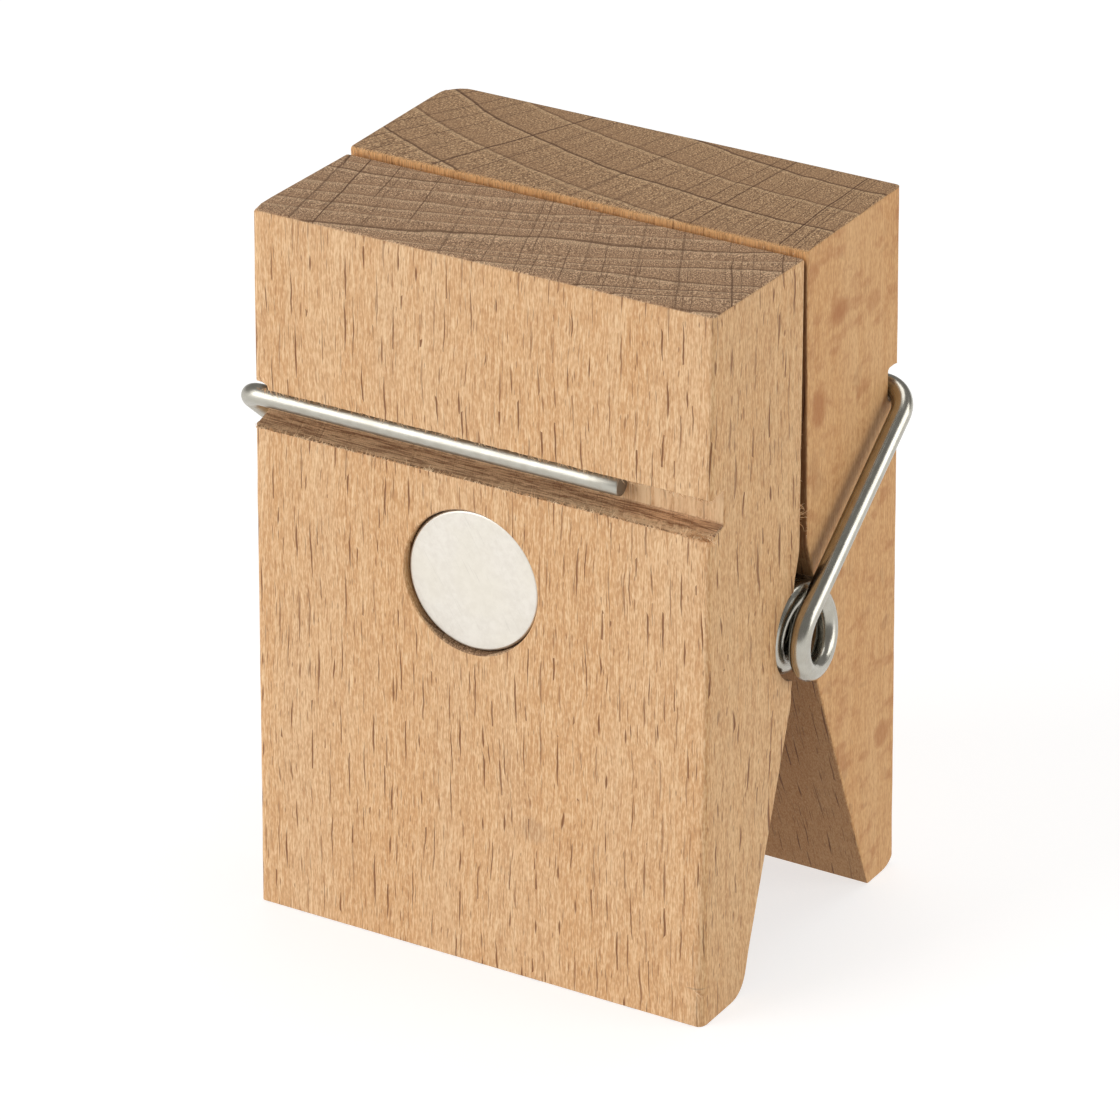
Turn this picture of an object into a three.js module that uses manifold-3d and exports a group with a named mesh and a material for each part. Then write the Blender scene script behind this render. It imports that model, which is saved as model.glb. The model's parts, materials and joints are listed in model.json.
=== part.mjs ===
// A wide block clothespin in beech, with a torsion spring and a round magnet in its front face.
// Millimetres, +Z up, X across the width, -Y the front. It stands on its two legs at z = 0.
import * as THREE from 'three';
import { mergeVertices } from 'three/addons/utils/BufferGeometryUtils.js';
import Module from 'manifold-3d';

const wasm = await Module();
wasm.setup();

const WIDTH = 52.6;
const HEIGHT = 77.0;
const PIVOT = { y: -0.2, z: 36.0 };

// Each jaw's side outline. Outer face: foot to top. Inner face: tip, throat, the coil's bed, nose, toe.
const FRONT_JAW = {
  foot: { y: -20.2, z: 0, r: 0.3 },
  top: { y: -18.3, z: HEIGHT, r: 0.4 },
  tip: { y: -0.5, z: 76.4, r: 0.5 },
  throat: { y: -0.85, z: 45.0, r: 4 },
  bedTop: { y: -2.2, z: 40.6 },
  bedFoot: { y: -2.25, z: 31.4 },
  nose: { y: -2.3, z: 28.5, r: 2 },
  toe: { y: -12.1, z: 0, r: 3.2 },
  leftEdge: 1.0,
  rightEdge: 1.2,
};
const BACK_JAW = {
  foot: { y: 20.2, z: 0, r: 2.8 },
  top: { y: 19.26, z: 76.9, r: 0.4 },
  tip: { y: -0.05, z: HEIGHT, r: 0.5 },
  throat: { y: 0.55, z: 45.2, r: 3 },
  bedTop: { y: 2.1, z: 40.6 },
  bedFoot: { y: 2.05, z: 31.6 },
  nose: { y: 2.35, z: 30.3, r: 1.2 },
  toe: { y: 14.35, z: 0, r: 0.3 },
  leftEdge: 3.4,
  rightEdge: 0.8,
};

const WIRE = 2.2;
const COIL_RADIUS = 3.9;
const COIL_TURNS = 25;
const COIL_CLEARANCE = 0.3;
const END_SPREAD = 0.5;
const ARM_X = 28.15;
const SPLIT = 0.15;
const FRONT_SEAT = { y: -17.4, z: 56.4, end: 15.6, bend: 2.2 };
const BACK_SEAT = { y: 18.56, z: 55.15, end: -15.6, bend: 3 };

const FRONT_GROOVE = { floor: -16.07, ceiling: 57.77 };
const BACK_GROOVE = { floor: 17.2, ceiling: 57.5 };
const GROOVE_HEIGHT = 3.5;
const GROOVE_FALL = 0.27;
const GROOVE_CORNERS = { high: 0.3, low: 0.6 };

const MAGNET = { x: -0.8, z: 42.5, radius: 7.5, thick: 4.0, recess: 0.55, chamfer: 0.3 };
const POCKET = { radius: 7.7, depth: 5.2 };
const GLUE = { radius: 7.3, thick: 0.4, gap: 0.1 };

const BEECH_FRONT = { color: 0xdcb48c, roughness: 0.62, metalness: 0.0 };
const BEECH_BACK = { color: 0xd0a67a, roughness: 0.62, metalness: 0.0 };
const STEEL = { color: 0xc9c6bf, roughness: 0.2, metalness: 1.0 };
const NICKEL = { color: 0xded8cc, roughness: 0.42, metalness: 1.0 };
const RESIN = { color: 0x5a3a1c, roughness: 0.35, metalness: 0.0 };

const OVERCUT = 2;

// Turns corners {y, z, r} into an outline, rounding each corner that has a radius.
function rounded(corners) {
  const at = (c) => new THREE.Vector2(c.y, c.z);
  return corners.flatMap((corner, i) => {
    const here = at(corner);
    if (!corner.r) return [here];
    const before = at(corners.at(i - 1)).sub(here).normalize();
    const after = at(corners[(i + 1) % corners.length]).sub(here).normalize();
    const reach = corner.r / Math.tan(Math.acos(before.dot(after)) / 2);
    const arc = new THREE.QuadraticBezierCurve(
      before.multiplyScalar(reach).add(here), here, after.multiplyScalar(reach).add(here));
    return arc.getPoints(corner.r > 1 ? 8 : 4);
  });
}

// A solid from an outline in (Y, Z), running the given length along X about x = 0.
function prism(outline, length) {
  const g = new THREE.ExtrudeGeometry(new THREE.Shape(outline), { depth: length, bevelEnabled: false });
  g.translate(0, 0, -length / 2);
  return g.applyMatrix4(new THREE.Matrix4().makeBasis(
    new THREE.Vector3(0, 1, 0), new THREE.Vector3(0, 0, 1), new THREE.Vector3(1, 0, 0)));
}

function solid(geometry) {
  const bare = geometry.index ? geometry.toNonIndexed() : geometry;
  bare.deleteAttribute('normal');
  bare.deleteAttribute('uv');
  const g = mergeVertices(bare, 1e-5);
  return new wasm.Manifold(new wasm.Mesh({
    numProp: 3,
    vertProperties: new Float32Array(g.attributes.position.array),
    triVerts: new Uint32Array(g.index.array),
  }));
}

function geometryOf(manifold) {
  const m = manifold.getMesh();
  const g = new THREE.BufferGeometry();
  g.setAttribute('position', new THREE.BufferAttribute(new Float32Array(m.vertProperties), 3));
  g.setIndex(new THREE.BufferAttribute(new Uint32Array(m.triVerts), 1));
  return g;
}

// What a radius takes off the upright outer edge at x, which leans with the jaw's outer face.
function edgeCutter(jaw, x, radius) {
  const [sx, sy] = [Math.sign(x), Math.sign(jaw.foot.y)];
  const centre = new THREE.Vector2(x - sx * radius, jaw.foot.y - sy * radius);
  const along = (dx, dy) => centre.clone().add(new THREE.Vector2(sx * dx, sy * dy));
  const arc = Array.from({ length: 9 }, (_, i) => (i / 8) * Math.PI / 2)
    .map((a) => along(radius * Math.cos(a), radius * Math.sin(a)));
  const out = radius + OVERCUT;
  const outline = [along(out, 0), ...arc, along(0, out), along(out, out)];
  const g = new THREE.ExtrudeGeometry(new THREE.Shape(outline),
    { depth: HEIGHT + 2 * OVERCUT, bevelEnabled: false });
  const slope = (jaw.top.y - jaw.foot.y) / jaw.top.z;
  const lean = new THREE.Matrix4().makeShear(0, 0, 0, 0, 0, slope);
  return solid(g.translate(0, 0, -OVERCUT).applyMatrix4(lean));
}

// A cylinder along X about the spring's axis: half of it is the coil's bed in each jaw.
function coilBed() {
  const radius = COIL_RADIUS + WIRE / 2 + COIL_CLEARANCE;
  const g = new THREE.CylinderGeometry(radius, radius, WIDTH + 2 * OVERCUT, 48);
  return solid(g.rotateZ(Math.PI / 2).translate(0, PIVOT.y, PIVOT.z));
}

// The slot for a spring arm: level ceiling, upright floor, lower wall falling outward.
function grooveCutter({ floor, ceiling }) {
  const low = ceiling - GROOVE_HEIGHT;
  const reach = 6;
  const out = floor + Math.sign(floor) * reach;
  return solid(prism(rounded([
    { y: out, z: ceiling },
    { y: floor, z: ceiling, r: GROOVE_CORNERS.high },
    { y: floor, z: low, r: GROOVE_CORNERS.low },
    { y: out, z: low - GROOVE_FALL * reach }]), WIDTH + 2 * OVERCUT));
}

// A disc sunk square into the leaning front face at the magnet's centre, between two depths.
function disc(radius, from, to, chamfer = 0) {
  const rim = chamfer ? [[radius - chamfer, from], [radius, from + chamfer]] : [[radius, from]];
  const profile = [[0, from], ...rim, [radius, to], [0, to]].map(([r, y]) => new THREE.Vector2(r, y));
  const slope = (FRONT_JAW.top.y - FRONT_JAW.foot.y) / FRONT_JAW.top.z;
  const g = new THREE.LatheGeometry(profile, 56);
  g.rotateX(-Math.atan(slope)).translate(MAGNET.x, FRONT_JAW.foot.y + slope * MAGNET.z, MAGNET.z);
  return solid(g);
}

function jaw(shape, groove) {
  const { foot, top, tip, throat, bedTop, bedFoot, nose, toe } = shape;
  return solid(prism(rounded([foot, top, tip, throat, bedTop, bedFoot, nose, toe]), WIDTH))
    .subtract(coilBed())
    .subtract(grooveCutter(groove))
    .subtract(edgeCutter(shape, -WIDTH / 2, shape.leftEdge))
    .subtract(edgeCutter(shape, WIDTH / 2, shape.rightEdge));
}

// A path through a list of points, straight between them, with one step of a sweep per point.
class Route extends THREE.Curve {
  constructor(points) {
    super();
    this.points = points;
  }

  getPoint(t, target = new THREE.Vector3()) {
    const place = THREE.MathUtils.clamp(t, 0, 1) * (this.points.length - 1);
    const i = Math.min(Math.floor(place), this.points.length - 2);
    return target.lerpVectors(this.points[i], this.points[i + 1], place - i);
  }

  getUtoTmapping(u) {
    return u;
  }
}

function wire(points, corners) {
  const section = new THREE.Shape().absarc(0, 0, WIRE / 2, 0, 2 * Math.PI);
  return solid(new THREE.ExtrudeGeometry(section, {
    steps: points.length - 1, curveSegments: corners / 2, extrudePath: new Route(points) }));
}

// How steeply the straight arm climbs, tangent to the coil, to reach its seat in the jaw's groove.
function armSlope(seat) {
  const [run, rise] = [Math.abs(seat.y - PIVOT.y), seat.z - PIVOT.z];
  return Math.atan2(rise, run) - Math.asin(COIL_RADIUS / Math.hypot(run, rise));
}

// How far along X the wire has come after some turns of the coil. It is level where it runs on
// into the arms, and the first and last turns stand END_SPREAD further apart.
function coilDrift(turn, turns) {
  const pitch = 2 * (ARM_X - END_SPREAD) / turns;
  const first = pitch + END_SPREAD;
  const eased = (t) => (4 * first - pitch) * t ** 3 + (pitch - 3 * first) * t ** 4;
  if (turn < 1) return eased(turn);
  if (turn > turns - 1) return 2 * ARM_X - eased(turns - turn);
  return END_SPREAD + pitch * turn;
}

// The coil, left-handed: it turns about +X while x falls from the right end to the left one.
function coil() {
  const from = Math.PI / 2 + armSlope(BACK_SEAT);
  const total = COIL_TURNS * 2 * Math.PI + Math.PI / 2 - armSlope(FRONT_SEAT) - from;
  const gap = SPLIT / COIL_RADIUS;
  const steps = COIL_TURNS * 12;
  return wire(Array.from({ length: steps + 1 }, (_, i) => {
    const a = gap + (i / steps) * (total - 2 * gap);
    const x = ARM_X - coilDrift(a / (2 * Math.PI), total / (2 * Math.PI));
    return new THREE.Vector3(x, PIVOT.y + COIL_RADIUS * Math.cos(from + a),
      PIVOT.z + COIL_RADIUS * Math.sin(from + a));
  }), 8);
}

// A straight arm off the coil, a tight bend round the jaw's side and a run along its groove.
function arm(seat) {
  const side = Math.sign(seat.y);
  const slope = armSlope(seat);
  const climb = new THREE.Vector3(0, side * Math.cos(slope), Math.sin(slope));
  const inward = new THREE.Vector3(-side, 0, 0);
  const corner = new THREE.Vector3(side * ARM_X, seat.y, seat.z);
  const start = new THREE.Vector3(side * ARM_X, PIVOT.y - side * COIL_RADIUS * Math.sin(slope),
    PIVOT.z + COIL_RADIUS * Math.cos(slope)).addScaledVector(climb, SPLIT);
  const bend = Array.from({ length: 11 }, (_, i) => (i / 10) * Math.PI / 2)
    .map((a) => corner.clone()
      .addScaledVector(climb, -seat.bend * (1 - Math.sin(a)))
      .addScaledVector(inward, seat.bend * (1 - Math.cos(a))));
  return wire([start, ...bend, new THREE.Vector3(seat.end, seat.y, seat.z)], 16);
}

function part(name, manifold, look) {
  const geometry = geometryOf(manifold);
  geometry.computeVertexNormals();
  const mesh = new THREE.Mesh(geometry, new THREE.MeshStandardMaterial(look));
  mesh.name = name;
  return mesh;
}

const pocket = disc(POCKET.radius, -OVERCUT, POCKET.depth);
const glueBed = disc(GLUE.radius, POCKET.depth - GLUE.gap - GLUE.thick, POCKET.depth - GLUE.gap);
const magnet = disc(MAGNET.radius, MAGNET.recess, MAGNET.recess + MAGNET.thick, MAGNET.chamfer);

const clothespin = new THREE.Group();
clothespin.name = 'clothespin';
clothespin.add(part('back_jaw', jaw(BACK_JAW, BACK_GROOVE), BEECH_BACK));
clothespin.add(part('front_jaw', jaw(FRONT_JAW, FRONT_GROOVE).subtract(pocket), BEECH_FRONT));
clothespin.add(part('spring_coil', coil(), STEEL));
clothespin.add(part('spring_back_arm', arm(BACK_SEAT), STEEL));
clothespin.add(part('spring_front_arm', arm(FRONT_SEAT), STEEL));
clothespin.add(part('magnet_glue', glueBed, RESIN));
clothespin.add(part('disc_magnet', magnet, NICKEL));

export default clothespin;
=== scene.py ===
import json
import math
import random

import bmesh
import bpy
import numpy as np
from mathutils import Matrix, Vector, noise

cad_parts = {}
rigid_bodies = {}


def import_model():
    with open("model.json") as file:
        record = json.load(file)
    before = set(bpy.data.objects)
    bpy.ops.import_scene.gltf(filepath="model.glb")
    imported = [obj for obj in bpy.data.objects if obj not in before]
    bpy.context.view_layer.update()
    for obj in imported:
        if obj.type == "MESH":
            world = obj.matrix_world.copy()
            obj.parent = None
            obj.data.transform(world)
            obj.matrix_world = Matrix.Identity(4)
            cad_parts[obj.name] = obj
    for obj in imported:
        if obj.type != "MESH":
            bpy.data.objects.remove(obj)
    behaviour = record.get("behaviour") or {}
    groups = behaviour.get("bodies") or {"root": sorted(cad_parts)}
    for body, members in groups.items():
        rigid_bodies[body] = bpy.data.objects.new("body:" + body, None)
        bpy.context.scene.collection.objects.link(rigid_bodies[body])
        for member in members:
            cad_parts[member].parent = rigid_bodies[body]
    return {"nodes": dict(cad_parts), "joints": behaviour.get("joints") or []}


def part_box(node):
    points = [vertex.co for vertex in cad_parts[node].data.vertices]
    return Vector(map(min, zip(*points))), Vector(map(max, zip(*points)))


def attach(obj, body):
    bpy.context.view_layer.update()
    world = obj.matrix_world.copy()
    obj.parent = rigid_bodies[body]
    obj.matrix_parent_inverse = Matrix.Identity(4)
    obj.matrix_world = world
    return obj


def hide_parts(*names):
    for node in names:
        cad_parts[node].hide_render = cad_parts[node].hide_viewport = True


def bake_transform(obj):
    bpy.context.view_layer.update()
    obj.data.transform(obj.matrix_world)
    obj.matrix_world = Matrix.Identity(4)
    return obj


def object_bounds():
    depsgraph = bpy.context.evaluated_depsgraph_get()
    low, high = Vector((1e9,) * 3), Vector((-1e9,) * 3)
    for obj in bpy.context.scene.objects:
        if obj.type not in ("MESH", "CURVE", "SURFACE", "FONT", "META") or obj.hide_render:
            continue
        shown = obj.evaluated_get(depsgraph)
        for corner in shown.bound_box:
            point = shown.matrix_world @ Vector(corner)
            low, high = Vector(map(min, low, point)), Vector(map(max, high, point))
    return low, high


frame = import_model()
CAD_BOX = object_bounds()

# Lengths are in millimetres until a mesh is made; the frame is in metres.
MM = 0.001
JOINT = frame["joints"][0]
FRONT_BODY, BACK_BODY = JOINT["child"], JOINT["parent"]
PIVOT = Vector(JOINT["pos_m"]) / MM

# The spring: the wire, the coil's mean radius and turns, and how the ends leave it.
WIRE = 2.2
COIL_RADIUS = 3.9
COIL_TURNS = 25
END_SPREAD = 0.5
ARM_BEND = {-1: 2.2, 1: 3.0}
WIRE_SIDES = 32
STEPS_A_TURN = 60

# The magnet, its pocket and the glue round it.
MAGNET_EDGE = 0.3
MAGNET_BACK_EDGE = 0.25
POCKET_GAP = 0.2
POCKET_DEPTH = 5.2
POCKET_LIP = 0.14
GLUE_LEVEL = 0.5
GLUE_BEAD_DEPTH = 2.0

# Wear of the wood: how far corners and edges are rounded, and the groove lip's broken end.
# The outer upright edges have a radius at the top and one at the foot, at each end.
SHARP_ROUND = 0.12
END_ROUND = 0.28
CORNER_ROUND = 0.07
ROW_STEP = 0.3
END_ROWS = 8
EDGE_ROUND = {
    "front_jaw": {-1: (1.0, 1.0), 1: (0.6, 1.2)},
    "back_jaw": {-1: (3.4, 3.4), 1: (0.8, 0.8)},
}
TOP_CORNER = {"front_jaw": {-1: 1.2, 1: 0.4}, "back_jaw": {-1: 0.3, 1: 0.2}}
CHIP_DEPTH = 0.7
CHIP_LENGTH = 1.6

# Heights on a jaw: where its groove is, where the worn edges go from their top radius to
# their foot's, where the inner faces begin to be pinched out of the light, and its tip.
GROOVE_HEIGHTS = (40, 70)
FOOT_WEAR = (28, 6)
PINCHED = (41.0, 46.0)
TIP_LIGHT = (75.0, 75.8)
TIP_SHADE = (76.3, 75.2)

# How far up one long trunk a board is taken, for each unit of its seed.
TRUNK_STEP = 40.0

# Each board's pith, in the plan of the top, and the spacing of its growth rings.
# With them go its ray spacing, how much its rays fleck or figure its sides, and its inner side.
FRONT_BOARD = {"pith": (-65.0, 158.0), "ring": 2.6, "uneven": 2.2, "seed": 3.7,
               "ray": 4.2, "side_flecks": 1.0, "calm_sides": 1.1, "figure": 0.1, "inward": 1}
BACK_BOARD = {"pith": (21.0, 93.0), "ring": 5.6, "uneven": 0.5, "seed": 11.3,
              "ray": 3.6, "side_flecks": 0.25, "calm_sides": 0.85, "figure": 0.5, "inward": -1}


# ---------- meshes

def new_object(name, points, faces, uvs=None):
    """A mesh object from points in millimetres, with one uv per face corner if given."""
    mesh = bpy.data.meshes.new(name)
    mesh.from_pydata([tuple(c * MM for c in p) for p in points], [], faces)
    if uvs is not None:
        layer = mesh.uv_layers.new(name="along")
        layer.data.foreach_set("uv", np.array(uvs, np.float32).ravel())
    mesh.validate()
    thing = bpy.data.objects.new(name, mesh)
    bpy.context.scene.collection.objects.link(thing)
    return thing


def smooth(thing, sharp_degrees=40, even=True):
    """Smooth shading but for sharp edges; even gives large faces the say over small ones."""
    mesh = thing.data
    mesh.shade_smooth()
    mesh.set_sharp_from_angle(angle=math.radians(sharp_degrees))
    if even:
        weighted = thing.modifiers.new("even_normals", "WEIGHTED_NORMAL")
        weighted.keep_sharp = True


def apply_modifiers(thing):
    graph = bpy.context.evaluated_depsgraph_get()
    mesh = bpy.data.meshes.new_from_object(
        thing.evaluated_get(graph), preserve_all_data_layers=True, depsgraph=graph)
    thing.modifiers.clear()
    thing.data = mesh


def tube(points, radii, sides):
    """Points, faces and uvs of a round tube along a path, closed at both ends.

    The uvs run along it in millimetres and once round it; the end faces lie at (0, 2)."""
    path = [Vector(p) for p in points]
    steps = [(b - a).normalized() for a, b in zip(path, path[1:])]
    heading = [steps[0]] + [(a + b).normalized() for a, b in zip(steps, steps[1:])] + [steps[-1]]
    side = heading[0].orthogonal().normalized()
    along, run = [0.0], 0.0
    for a, b in zip(path, path[1:]):
        run += (b - a).length
        along.append(run)
    ring_points, faces, uvs = [], [], []
    for here, way, radius in zip(path, heading, radii):
        side = (side - way * side.dot(way)).normalized()
        up = way.cross(side)
        for k in range(sides):
            angle = 2 * math.pi * k / sides
            ring_points.append(here + radius * (side * math.cos(angle) + up * math.sin(angle)))
    for i in range(len(path) - 1):
        for k in range(sides):
            a, b = i * sides + k, i * sides + (k + 1) % sides
            faces.append((a, b, b + sides, a + sides))
            left, right = k / sides, (k + 1) / sides
            uvs += [(along[i], left), (along[i], right), (along[i + 1], right), (along[i + 1], left)]
    faces.append(tuple(reversed(range(sides))))
    last = (len(path) - 1) * sides
    faces.append(tuple(range(last, last + sides)))
    uvs += [(0.0, 2.0)] * (2 * sides)
    return ring_points, faces, uvs


def lathe(name, profile, centre, tilt, steps, wobble=None):
    """A solid turned about the Y axis from (radius, depth) points, tilted and set at centre.

    wobble(angle, depth), if given, says how deep a point lies at that angle."""
    turn = Matrix.Rotation(tilt, 4, "X")
    points, faces = [], []
    for k in range(steps):
        angle = 2 * math.pi * k / steps
        for radius, depth in profile:
            if wobble:
                depth = wobble(angle, depth)
            spot = Vector((radius * math.cos(angle), depth, radius * math.sin(angle)))
            points.append(turn @ spot + centre)
    count = len(profile)
    for k in range(steps):
        for i in range(count):
            j = (i + 1) % count
            if profile[i][0] == 0 and profile[j][0] == 0:
                continue
            a, b = k * count, ((k + 1) % steps) * count
            faces.append((a + i, a + j, b + j, b + i))
    thing = new_object(name, points, faces)
    tidy(thing)
    return thing


def tidy(thing):
    """Merges what coincides, drops faces without area and turns all faces outward."""
    bm = bmesh.new()
    bm.from_mesh(thing.data)
    bmesh.ops.remove_doubles(bm, verts=bm.verts, dist=1e-3 * MM)
    bmesh.ops.dissolve_degenerate(bm, dist=1e-3 * MM, edges=bm.edges)
    bmesh.ops.recalc_face_normals(bm, faces=bm.faces)
    bm.to_mesh(thing.data)
    bm.free()


# ---------- jaw outlines

def section(node, x):
    """Where the plane at x cuts a CAD node: its outline as (y, z) points, anticlockwise."""
    bm = bmesh.new()
    bm.from_mesh(frame["nodes"][node].data)
    bmesh.ops.remove_doubles(bm, verts=bm.verts, dist=1e-3 * MM)
    everything = bm.verts[:] + bm.edges[:] + bm.faces[:]
    cut = bmesh.ops.bisect_plane(bm, geom=everything, plane_co=(x * MM, 0, 0), plane_no=(1, 0, 0))
    near = {}
    for edge in cut["geom_cut"]:
        if isinstance(edge, bmesh.types.BMEdge):
            a, b = edge.verts
            near.setdefault(a, []).append(b)
            near.setdefault(b, []).append(a)
    start = next(iter(near))
    loop, before, here = [start], None, start
    while True:
        onward = next(v for v in near[here] if v is not before)
        if onward is start:
            break
        loop.append(onward)
        before, here = here, onward
    outline = [np.array((v.co.y, v.co.z)) / MM for v in loop]
    bm.free()
    area = sum(a[0] * b[1] - b[0] * a[1] for a, b in zip(outline, outline[1:] + outline[:1]))
    return outline if area > 0 else outline[::-1]


def unit(v):
    return v / max(np.linalg.norm(v), 1e-9)


def turns(outline):
    """How far the outline turns at each point, in radians: left is positive."""
    count = len(outline)
    found = []
    for i, here in enumerate(outline):
        a = unit(here - outline[i - 1])
        b = unit(outline[(i + 1) % count] - here)
        found.append(math.atan2(a[0] * b[1] - a[1] * b[0], float(a @ b)))
    return found


def without_flat_points(outline):
    """The outline without the points at which it runs straight on."""
    return [p for p, turn in zip(outline, turns(outline)) if abs(turn) > math.radians(0.4)]


def with_round_corners(outline, radius, sharpest=math.radians(35), steps=4):
    """Rounds each corner sharper than that with a small arc."""
    made, count = [], len(outline)
    for i, (here, turn) in enumerate(zip(outline, turns(outline))):
        if abs(turn) < sharpest:
            made.append(here)
            continue
        back, ahead = outline[i - 1] - here, outline[(i + 1) % count] - here
        reach = radius * math.tan(abs(turn) / 2)
        reach = min(reach, 0.45 * np.linalg.norm(back), 0.45 * np.linalg.norm(ahead))
        a, b = here + reach * unit(back), here + reach * unit(ahead)
        for k in range(steps + 1):
            t = k / steps
            made.append((1 - t) ** 2 * a + 2 * t * (1 - t) * here + t * t * b)
    return made


def with_finer_arcs(outline, most_turn=math.radians(32), least_length=0.16):
    """Adds a point halfway along each stretch of an arc: it bends alike at both its ends."""
    made, bends, count = [], turns(outline), len(outline)
    lengths = [np.linalg.norm(outline[(i + 1) % count] - p) for i, p in enumerate(outline)]
    for i, here in enumerate(outline):
        made.append(here)
        onward = outline[(i + 1) % count]
        a, b = bends[i], bends[(i + 1) % count]
        way = onward - here
        bent = a * b > 0 and max(abs(a), abs(b)) < most_turn and min(abs(a), abs(b)) > 0.01
        alike = lengths[i] < 1.9 * min(lengths[i - 1], lengths[(i + 1) % count])
        if bent and alike and lengths[i] > least_length:
            bulge = math.tan((a + b) / 8) / 2
            made.append((here + onward) / 2 + bulge * np.array((way[1], -way[0])))
    return made


def with_short_steps(outline, longest):
    """Splits each stretch so that no step is longer than longest(middle) says."""
    made, count = [], len(outline)
    for i, here in enumerate(outline):
        onward = outline[(i + 1) % count]
        pieces = max(1, math.ceil(np.linalg.norm(onward - here) / longest((here + onward) / 2)))
        made += [here + (onward - here) * k / pieces for k in range(pieces)]
    return made


def longest_stretch(outline):
    ends = zip(outline, outline[1:] + outline[:1])
    return max(ends, key=lambda pair: np.linalg.norm(pair[1] - pair[0]))


class Jaw:
    """One jaw's fine outline, with what each of its points belongs to."""

    def __init__(self, node):
        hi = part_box(node)[1]
        self.node = node
        self.half = hi.x / MM
        clear_of_pocket = 0.6 * self.half
        plain = without_flat_points(section(node, clear_of_pocket))
        a, b = longest_stretch(plain)
        self.slope = (b[0] - a[0]) / (b[1] - a[1])
        self.face_at_foot = a[0] - self.slope * a[1]
        self.side = math.copysign(1, self.face_at_foot)
        self.top = np.array((self.face(hi.z / MM), hi.z / MM))
        bends = turns(plain)
        self.lips = sorted(
            (p for p, turn in zip(plain, bends) if turn > math.radians(60)
             and self.depth(p) < 0.05 and GROOVE_HEIGHTS[0] < p[1] < GROOVE_HEIGHTS[1]),
            key=lambda p: p[1])
        self.corners = []
        for i, (p, turn) in enumerate(zip(plain, bends)):
            if turn > math.radians(35):
                inward = unit(unit(plain[i - 1] - p) + unit(plain[(i + 1) % len(plain)] - p))
                self.corners.append((p, inward))
        fine = with_finer_arcs(with_finer_arcs(with_round_corners(plain, SHARP_ROUND)))
        self.outline = with_short_steps(fine, self.step)
        count = len(self.outline)
        self.out = []
        for i in range(count):
            way = unit(self.outline[(i + 1) % count] - self.outline[i - 1])
            self.out.append(np.array((way[1], -way[0])))

    def face(self, z):
        return self.face_at_foot + self.slope * z

    def depth(self, p):
        """How far a point lies inside the outer face."""
        return self.side * (self.face(p[1]) - p[0])

    def lip_distance(self, p):
        return min(np.linalg.norm(p - lip) for lip in self.lips)

    def corner(self, p):
        """How far the nearest outward corner is, and the way from it into the wood."""
        return min(((np.linalg.norm(p - c), tuple(inward)) for c, inward in self.corners))

    def in_groove(self, p):
        low, high = self.lips[0][1], self.lips[1][1]
        return self.depth(p) > 0.12 and low - 1.2 < p[1] < high + 0.2 and self.depth(p) < 4.5

    def step(self, middle):
        if self.lip_distance(middle) < 1.2:
            return 0.22
        if self.in_groove(middle):
            return 0.35
        return 0.7 if middle[1] < 8 else 1.3


def bump(x, y, z):
    """Smooth noise between about -1 and 1."""
    return noise.noise(Vector((x, y, z)))


def blend_in(low, high, value):
    t = min(1.0, max(0.0, (value - low) / (high - low)))
    return t * t * (3 - 2 * t)


def chip(jaw, p, x):
    """How much has broken off the upper lip of the front's groove, at its left end."""
    if jaw.node != "front_jaw":
        return 0.0
    stop = CHIP_LENGTH - jaw.half
    away = np.linalg.norm(p - jaw.lips[1])
    return CHIP_DEPTH * blend_in(stop + 0.3, stop - 0.3, x) * blend_in(1.7, 0.1, away)


def wear(jaw, p, out, x, seed):
    """How the surface strays from the outline at x: the groove is torn, its lips are nicked."""
    gap, inward = jaw.corner(p)
    lip = jaw.lip_distance(p)
    shift = np.array(inward) * chip(jaw, p, x)
    if jaw.in_groove(p) and lip > 0.1:
        ridge = bump(x * 2.6, p[1] * 0.35, p[0] * 0.35 + seed) + 0.5 * bump(x * 6.1, p[1], seed)
        shift += out * 0.05 * ridge * blend_in(0.1, 0.5, lip)
    if lip < 0.7:
        upper = p[1] > (jaw.lips[0][1] + jaw.lips[1][1]) / 2
        nick = max(0.0, bump(x * 1.7, 3.0 * upper, seed) - 0.1) * (0.16 if upper else 0.5)
        fuzz = 0.06 * abs(bump(x * 7.3, 5.0 * upper, seed))
        worn_off = min(0.28, nick + fuzz) * blend_in(0.7, 0.1, lip)
        shift += np.array(inward) * max(0.0, worn_off - chip(jaw, p, x))
    elif gap < 0.5:
        dull = 0.05 * abs(bump(x * 0.9, p[1], seed))
        shift += np.array(inward) * dull * blend_in(0.5, 0.1, gap)
    return shift


def clipped(jaw, spots, cut):
    """The closed outline with what stands proud of a cut below the face brought back to it.

    cut(z) is how deep the cut lies there. A stretch that is brought back starts and ends
    exactly where the outline meets the cut."""
    count = len(spots)
    under = [jaw.depth(p) - cut(p[1]) for p in spots]
    made = [np.array(p) for p in spots]

    def meeting(i, j):
        share = under[i] / (under[i] - under[j])
        return spots[i][1] + (spots[j][1] - spots[i][1]) * share

    for i in range(count):
        if under[i] >= 0 or under[i - 1] < 0:
            continue
        run = [i]
        while under[(run[-1] + 1) % count] < 0:
            run.append((run[-1] + 1) % count)
        start, stop = meeting(i - 1, i), meeting((run[-1] + 1) % count, run[-1])
        low, high, z = min(start, stop), max(start, stop), start
        for k in run:
            onward = min(high, max(low, spots[k][1]))
            z = max(z, onward) if stop > start else min(z, onward)
            z = start if k == run[0] else stop if k == run[-1] else z
            made[k] = np.array((jaw.face(z) - jaw.side * cut(z), z))
    return made


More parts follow.
